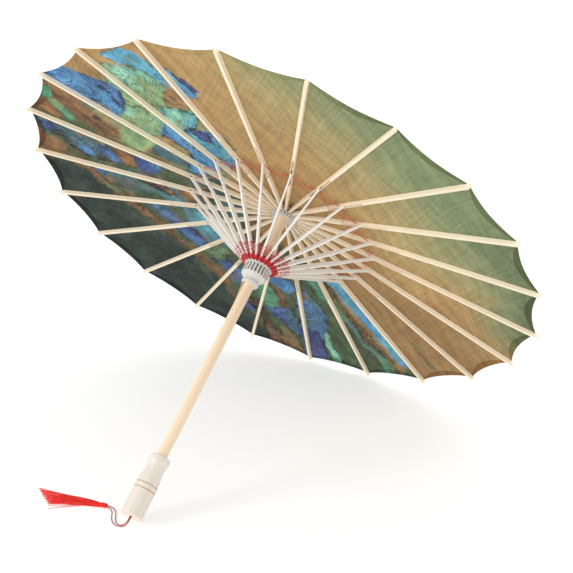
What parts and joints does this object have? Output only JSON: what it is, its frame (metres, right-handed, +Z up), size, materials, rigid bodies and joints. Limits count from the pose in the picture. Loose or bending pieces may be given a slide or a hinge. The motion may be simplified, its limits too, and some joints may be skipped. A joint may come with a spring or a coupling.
{
  "type": "oil paper umbrella",
  "caption": "Open folding parasol with split bamboo ribs, a sliding runner, a painted silk canopy, a turned handle and a red tassel.",
  "frame": {"origin": "on the floor, under the middle of the bounding box of the umbrella as it lies open on two rib ends and the butt of its handle", "axes": "+Z up; +Y along the floor from the handle towards the canopy; +X to the right when facing the canopy from the handle; the shaft lies in the plane X = 0"},
  "size_m": [0.8202, 0.6391, 0.6196],
  "materials": {
    "bamboo_rib": "split bamboo, planed smooth, satin",
    "painted_strut": "thin white paint on split bamboo",
    "shaft_wood": "pale turned wood, waxed",
    "handle_wood": "whitened turned wood, satin lacquer",
    "painted_hub": "white-grey lacquer on turned wood",
    "cap_wood": "turned wood, satin lacquer",
    "peg_wood": "bare bamboo peg",
    "catch_bamboo": "sprung bamboo leaf",
    "silk": "printed silk, oiled, fine plain weave",
    "red_thread": "twisted rayon thread"
  },
  "bodies": {
    "stick": {"shaft": "shaft_wood", "handle": "handle_wood", "crown_hub": "painted_hub", "crown_cap": "cap_wood", "crown_patch": "silk", "shaft_pegs": "peg_wood", "hub_thread": "red_thread", "canopy": "silk", "cord_peg": "peg_wood", "tassel_cord_outer": "red_thread", "tassel_cord_inner": "red_thread", "tassel_knot": "red_thread", "tassel_skirt": "red_thread"},
    "runner": {"runner": "painted_hub", "runner_thread": "red_thread"},
    "catch": {"spring_catch": "catch_bamboo"},
    "rib_01": {"rib_01": "bamboo_rib"},
    "rib_02": {"rib_02": "bamboo_rib"},
    "rib_03": {"rib_03": "bamboo_rib"},
    "rib_04": {"rib_04": "bamboo_rib"},
    "rib_05": {"rib_05": "bamboo_rib"},
    "rib_06": {"rib_06": "bamboo_rib"},
    "rib_07": {"rib_07": "bamboo_rib"},
    "rib_08": {"rib_08": "bamboo_rib"},
    "rib_09": {"rib_09": "bamboo_rib"},
    "rib_10": {"rib_10": "bamboo_rib"},
    "rib_11": {"rib_11": "bamboo_rib"},
    "rib_12": {"rib_12": "bamboo_rib"},
    "rib_13": {"rib_13": "bamboo_rib"},
    "rib_14": {"rib_14": "bamboo_rib"},
    "rib_15": {"rib_15": "bamboo_rib"},
    "rib_16": {"rib_16": "bamboo_rib"},
    "rib_17": {"rib_17": "bamboo_rib"},
    "rib_18": {"rib_18": "bamboo_rib"},
    "rib_19": {"rib_19": "bamboo_rib"},
    "rib_20": {"rib_20": "bamboo_rib"},
    "rib_21": {"rib_21": "bamboo_rib"},
    "rib_22": {"rib_22": "bamboo_rib"},
    "strut_01": {"strut_01": "painted_strut"},
    "strut_02": {"strut_02": "painted_strut"},
    "strut_03": {"strut_03": "painted_strut"},
    "strut_04": {"strut_04": "painted_strut"},
    "strut_05": {"strut_05": "painted_strut"},
    "strut_06": {"strut_06": "painted_strut"},
    "strut_07": {"strut_07": "painted_strut"},
    "strut_08": {"strut_08": "painted_strut"},
    "strut_09": {"strut_09": "painted_strut"},
    "strut_10": {"strut_10": "painted_strut"},
    "strut_11": {"strut_11": "painted_strut"},
    "strut_12": {"strut_12": "painted_strut"},
    "strut_13": {"strut_13": "painted_strut"},
    "strut_14": {"strut_14": "painted_strut"},
    "strut_15": {"strut_15": "painted_strut"},
    "strut_16": {"strut_16": "painted_strut"},
    "strut_17": {"strut_17": "painted_strut"},
    "strut_18": {"strut_18": "painted_strut"},
    "strut_19": {"strut_19": "painted_strut"},
    "strut_20": {"strut_20": "painted_strut"},
    "strut_21": {"strut_21": "painted_strut"},
    "strut_22": {"strut_22": "painted_strut"}
  },
  "joints": [
    {"name": "runner_slide", "type": "slide", "parent": "stick", "child": "runner", "axis": [0, 0.7592, 0.6509], "range_m": [-0.19452, 0], "deforming": ["canopy", "spring_catch"]},
    {"name": "rib_01_hinge", "type": "hinge", "parent": "stick", "child": "rib_01", "pos_m": [-0.00242, 0.09195, 0.32486], "axis": [-0.9898, -0.0926, 0.108], "range_deg": [0, 80.44]},
    {"name": "strut_01_hinge", "type": "hinge", "parent": "runner", "child": "strut_01", "pos_m": [-0.00242, 0.01907, 0.26238], "axis": [-0.9898, -0.0926, 0.108], "range_deg": [-57.21, 0]},
    {"name": "rib_02_hinge", "type": "hinge", "parent": "stick", "child": "rib_02", "pos_m": [-0.00706, 0.09107, 0.3259], "axis": [-0.9096, -0.2704, 0.3154], "range_deg": [0, 80.44]},
    {"name": "strut_02_hinge", "type": "hinge", "parent": "runner", "child": "strut_02", "pos_m": [-0.00706, 0.01818, 0.26341], "axis": [-0.9096, -0.2704, 0.3154], "range_deg": [-57.21, 0]},
    {"name": "rib_03_hinge", "type": "hinge", "parent": "stick", "child": "rib_03", "pos_m": [-0.01113, 0.08936, 0.32788], "axis": [-0.7557, -0.4262, 0.4972], "range_deg": [0, 80.44]},
    {"name": "strut_03_hinge", "type": "hinge", "parent": "runner", "child": "strut_03", "pos_m": [-0.01113, 0.01648, 0.2654], "axis": [-0.7557, -0.4262, 0.4972], "range_deg": [-57.21, 0]},
    {"name": "rib_04_hinge", "type": "hinge", "parent": "stick", "child": "rib_04", "pos_m": [-0.0143, 0.08698, 0.33066], "axis": [-0.5406, -0.5476, 0.6387], "range_deg": [0, 80.44]},
    {"name": "strut_04_hinge", "type": "hinge", "parent": "runner", "child": "strut_04", "pos_m": [-0.0143, 0.0141, 0.26817], "axis": [-0.5406, -0.5476, 0.6387], "range_deg": [-57.21, 0]},
    {"name": "rib_05_hinge", "type": "hinge", "parent": "stick", "child": "rib_05", "pos_m": [-0.01631, 0.08412, 0.334], "axis": [-0.2817, -0.6245, 0.7284], "range_deg": [0, 80.44]},
    {"name": "strut_05_hinge", "type": "hinge", "parent": "runner", "child": "strut_05", "pos_m": [-0.01631, 0.01124, 0.27152], "axis": [-0.2817, -0.6245, 0.7284], "range_deg": [-57.21, 0]},
    {"name": "rib_06_hinge", "type": "hinge", "parent": "stick", "child": "rib_06", "pos_m": [-0.017, 0.081, 0.33764], "axis": [0, -0.6509, 0.7592], "range_deg": [0, 80.44]},
    {"name": "strut_06_hinge", "type": "hinge", "parent": "runner", "child": "strut_06", "pos_m": [-0.017, 0.00812, 0.27515], "axis": [0, -0.6509, 0.7592], "range_deg": [-57.21, 0]},
    {"name": "rib_07_hinge", "type": "hinge", "parent": "stick", "child": "rib_07", "pos_m": [-0.01631, 0.07788, 0.34127], "axis": [0.2817, -0.6245, 0.7284], "range_deg": [0, 80.44]},
    {"name": "strut_07_hinge", "type": "hinge", "parent": "runner", "child": "strut_07", "pos_m": [-0.01631, 0.005, 0.27879], "axis": [0.2817, -0.6245, 0.7284], "range_deg": [-57.21, 0]},
    {"name": "rib_08_hinge", "type": "hinge", "parent": "stick", "child": "rib_08", "pos_m": [-0.0143, 0.07502, 0.34461], "axis": [0.5406, -0.5476, 0.6387], "range_deg": [0, 80.44]},
    {"name": "strut_08_hinge", "type": "hinge", "parent": "runner", "child": "strut_08", "pos_m": [-0.0143, 0.00214, 0.28213], "axis": [0.5406, -0.5476, 0.6387], "range_deg": [-57.21, 0]},
    {"name": "rib_09_hinge", "type": "hinge", "parent": "stick", "child": "rib_09", "pos_m": [-0.01113, 0.07264, 0.34739], "axis": [0.7557, -0.4262, 0.4972], "range_deg": [0, 80.44]},
    {"name": "strut_09_hinge", "type": "hinge", "parent": "runner", "child": "strut_09", "pos_m": [-0.01113, -0.00024, 0.28491], "axis": [0.7557, -0.4262, 0.4972], "range_deg": [-57.21, 0]},
    {"name": "rib_10_hinge", "type": "hinge", "parent": "stick", "child": "rib_10", "pos_m": [-0.00706, 0.07093, 0.34938], "axis": [0.9096, -0.2704, 0.3154], "range_deg": [0, 80.44]},
    {"name": "strut_10_hinge", "type": "hinge", "parent": "runner", "child": "strut_10", "pos_m": [-0.00706, -0.00195, 0.28689], "axis": [0.9096, -0.2704, 0.3154], "range_deg": [-57.21, 0]},
    {"name": "rib_11_hinge", "type": "hinge", "parent": "stick", "child": "rib_11", "pos_m": [-0.00242, 0.07005, 0.35041], "axis": [0.9898, -0.0926, 0.108], "range_deg": [0, 80.44]},
    {"name": "strut_11_hinge", "type": "hinge", "parent": "runner", "child": "strut_11", "pos_m": [-0.00242, -0.00283, 0.28793], "axis": [0.9898, -0.0926, 0.108], "range_deg": [-57.21, 0]},
    {"name": "rib_12_hinge", "type": "hinge", "parent": "stick", "child": "rib_12", "pos_m": [0.00242, 0.07005, 0.35041], "axis": [0.9898, 0.0926, -0.108], "range_deg": [0, 80.44]},
    {"name": "strut_12_hinge", "type": "hinge", "parent": "runner", "child": "strut_12", "pos_m": [0.00242, -0.00283, 0.28793], "axis": [0.9898, 0.0926, -0.108], "range_deg": [-57.21, 0]},
    {"name": "rib_13_hinge", "type": "hinge", "parent": "stick", "child": "rib_13", "pos_m": [0.00706, 0.07093, 0.34938], "axis": [0.9096, 0.2704, -0.3154], "range_deg": [0, 80.44]},
    {"name": "strut_13_hinge", "type": "hinge", "parent": "runner", "child": "strut_13", "pos_m": [0.00706, -0.00195, 0.28689], "axis": [0.9096, 0.2704, -0.3154], "range_deg": [-57.21, 0]},
    {"name": "rib_14_hinge", "type": "hinge", "parent": "stick", "child": "rib_14", "pos_m": [0.01113, 0.07264, 0.34739], "axis": [0.7557, 0.4262, -0.4972], "range_deg": [0, 80.44]},
    {"name": "strut_14_hinge", "type": "hinge", "parent": "runner", "child": "strut_14", "pos_m": [0.01113, -0.00024, 0.28491], "axis": [0.7557, 0.4262, -0.4972], "range_deg": [-57.21, 0]},
    {"name": "rib_15_hinge", "type": "hinge", "parent": "stick", "child": "rib_15", "pos_m": [0.0143, 0.07502, 0.34461], "axis": [0.5406, 0.5476, -0.6387], "range_deg": [0, 80.44]},
    {"name": "strut_15_hinge", "type": "hinge", "parent": "runner", "child": "strut_15", "pos_m": [0.0143, 0.00214, 0.28213], "axis": [0.5406, 0.5476, -0.6387], "range_deg": [-57.21, 0]},
    {"name": "rib_16_hinge", "type": "hinge", "parent": "stick", "child": "rib_16", "pos_m": [0.01631, 0.07788, 0.34127], "axis": [0.2817, 0.6245, -0.7284], "range_deg": [0, 80.44]},
    {"name": "strut_16_hinge", "type": "hinge", "parent": "runner", "child": "strut_16", "pos_m": [0.01631, 0.005, 0.27879], "axis": [0.2817, 0.6245, -0.7284], "range_deg": [-57.21, 0]},
    {"name": "rib_17_hinge", "type": "hinge", "parent": "stick", "child": "rib_17", "pos_m": [0.017, 0.081, 0.33764], "axis": [0, 0.6509, -0.7592], "range_deg": [0, 80.44]},
    {"name": "strut_17_hinge", "type": "hinge", "parent": "runner", "child": "strut_17", "pos_m": [0.017, 0.00812, 0.27515], "axis": [0, 0.6509, -0.7592], "range_deg": [-57.21, 0]},
    {"name": "rib_18_hinge", "type": "hinge", "parent": "stick", "child": "rib_18", "pos_m": [0.01631, 0.08412, 0.334], "axis": [-0.2817, 0.6245, -0.7284], "range_deg": [0, 80.44]},
    {"name": "strut_18_hinge", "type": "hinge", "parent": "runner", "child": "strut_18", "pos_m": [0.01631, 0.01124, 0.27152], "axis": [-0.2817, 0.6245, -0.7284], "range_deg": [-57.21, 0]},
    {"name": "rib_19_hinge", "type": "hinge", "parent": "stick", "child": "rib_19", "pos_m": [0.0143, 0.08698, 0.33066], "axis": [-0.5406, 0.5476, -0.6387], "range_deg": [0, 80.44]},
    {"name": "strut_19_hinge", "type": "hinge", "parent": "runner", "child": "strut_19", "pos_m": [0.0143, 0.0141, 0.26817], "axis": [-0.5406, 0.5476, -0.6387], "range_deg": [-57.21, 0]},
    {"name": "rib_20_hinge", "type": "hinge", "parent": "stick", "child": "rib_20", "pos_m": [0.01113, 0.08936, 0.32788], "axis": [-0.7557, 0.4262, -0.4972], "range_deg": [0, 80.44]},
    {"name": "strut_20_hinge", "type": "hinge", "parent": "runner", "child": "strut_20", "pos_m": [0.01113, 0.01648, 0.2654], "axis": [-0.7557, 0.4262, -0.4972], "range_deg": [-57.21, 0]},
    {"name": "rib_21_hinge", "type": "hinge", "parent": "stick", "child": "rib_21", "pos_m": [0.00706, 0.09107, 0.3259], "axis": [-0.9096, 0.2704, -0.3154], "range_deg": [0, 80.44]},
    {"name": "strut_21_hinge", "type": "hinge", "parent": "runner", "child": "strut_21", "pos_m": [0.00706, 0.01818, 0.26341], "axis": [-0.9096, 0.2704, -0.3154], "range_deg": [-57.21, 0]},
    {"name": "rib_22_hinge", "type": "hinge", "parent": "stick", "child": "rib_22", "pos_m": [0.00242, 0.09195, 0.32486], "axis": [-0.9898, 0.0926, -0.108], "range_deg": [0, 80.44]},
    {"name": "strut_22_hinge", "type": "hinge", "parent": "runner", "child": "strut_22", "pos_m": [0.00242, 0.01907, 0.26238], "axis": [-0.9898, 0.0926, -0.108], "range_deg": [-57.21, 0]},
    {"name": "catch_press", "type": "hinge", "parent": "stick", "child": "catch", "pos_m": [-0.00468, -0.05437, 0.22513], "axis": [0.5, -0.5637, 0.6575], "range_deg": [-4.5, 0]}
  ],
  "couplings": [
    {"joint": "rib_01_hinge", "follows": "runner_slide", "rad_per_m": -7.2176},
    {"joint": "strut_01_hinge", "follows": "runner_slide", "rad_per_m": 5.1334},
    {"joint": "rib_02_hinge", "follows": "runner_slide", "rad_per_m": -7.2176},
    {"joint": "strut_02_hinge", "follows": "runner_slide", "rad_per_m": 5.1334},
    {"joint": "rib_03_hinge", "follows": "runner_slide", "rad_per_m": -7.2176},
    {"joint": "strut_03_hinge", "follows": "runner_slide", "rad_per_m": 5.1334},
    {"joint": "rib_04_hinge", "follows": "runner_slide", "rad_per_m": -7.2176},
    {"joint": "strut_04_hinge", "follows": "runner_slide", "rad_per_m": 5.1334},
    {"joint": "rib_05_hinge", "follows": "runner_slide", "rad_per_m": -7.2176},
    {"joint": "strut_05_hinge", "follows": "runner_slide", "rad_per_m": 5.1334},
    {"joint": "rib_06_hinge", "follows": "runner_slide", "rad_per_m": -7.2176},
    {"joint": "strut_06_hinge", "follows": "runner_slide", "rad_per_m": 5.1334},
    {"joint": "rib_07_hinge", "follows": "runner_slide", "rad_per_m": -7.2176},
    {"joint": "strut_07_hinge", "follows": "runner_slide", "rad_per_m": 5.1334},
    {"joint": "rib_08_hinge", "follows": "runner_slide", "rad_per_m": -7.2176},
    {"joint": "strut_08_hinge", "follows": "runner_slide", "rad_per_m": 5.1334},
    {"joint": "rib_09_hinge", "follows": "runner_slide", "rad_per_m": -7.2176},
    {"joint": "strut_09_hinge", "follows": "runner_slide", "rad_per_m": 5.1334},
    {"joint": "rib_10_hinge", "follows": "runner_slide", "rad_per_m": -7.2176},
    {"joint": "strut_10_hinge", "follows": "runner_slide", "rad_per_m": 5.1334},
    {"joint": "rib_11_hinge", "follows": "runner_slide", "rad_per_m": -7.2176},
    {"joint": "strut_11_hinge", "follows": "runner_slide", "rad_per_m": 5.1334},
    {"joint": "rib_12_hinge", "follows": "runner_slide", "rad_per_m": -7.2176},
    {"joint": "strut_12_hinge", "follows": "runner_slide", "rad_per_m": 5.1334},
    {"joint": "rib_13_hinge", "follows": "runner_slide", "rad_per_m": -7.2176},
    {"joint": "strut_13_hinge", "follows": "runner_slide", "rad_per_m": 5.1334},
    {"joint": "rib_14_hinge", "follows": "runner_slide", "rad_per_m": -7.2176},
    {"joint": "strut_14_hinge", "follows": "runner_slide", "rad_per_m": 5.1334},
    {"joint": "rib_15_hinge", "follows": "runner_slide", "rad_per_m": -7.2176},
    {"joint": "strut_15_hinge", "follows": "runner_slide", "rad_per_m": 5.1334},
    {"joint": "rib_16_hinge", "follows": "runner_slide", "rad_per_m": -7.2176},
    {"joint": "strut_16_hinge", "follows": "runner_slide", "rad_per_m": 5.1334},
    {"joint": "rib_17_hinge", "follows": "runner_slide", "rad_per_m": -7.2176},
    {"joint": "strut_17_hinge", "follows": "runner_slide", "rad_per_m": 5.1334},
    {"joint": "rib_18_hinge", "follows": "runner_slide", "rad_per_m": -7.2176},
    {"joint": "strut_18_hinge", "follows": "runner_slide", "rad_per_m": 5.1334},
    {"joint": "rib_19_hinge", "follows": "runner_slide", "rad_per_m": -7.2176},
    {"joint": "strut_19_hinge", "follows": "runner_slide", "rad_per_m": 5.1334},
    {"joint": "rib_20_hinge", "follows": "runner_slide", "rad_per_m": -7.2176},
    {"joint": "strut_20_hinge", "follows": "runner_slide", "rad_per_m": 5.1334},
    {"joint": "rib_21_hinge", "follows": "runner_slide", "rad_per_m": -7.2176},
    {"joint": "strut_21_hinge", "follows": "runner_slide", "rad_per_m": 5.1334},
    {"joint": "rib_22_hinge", "follows": "runner_slide", "rad_per_m": -7.2176},
    {"joint": "strut_22_hinge", "follows": "runner_slide", "rad_per_m": 5.1334}
  ]
}
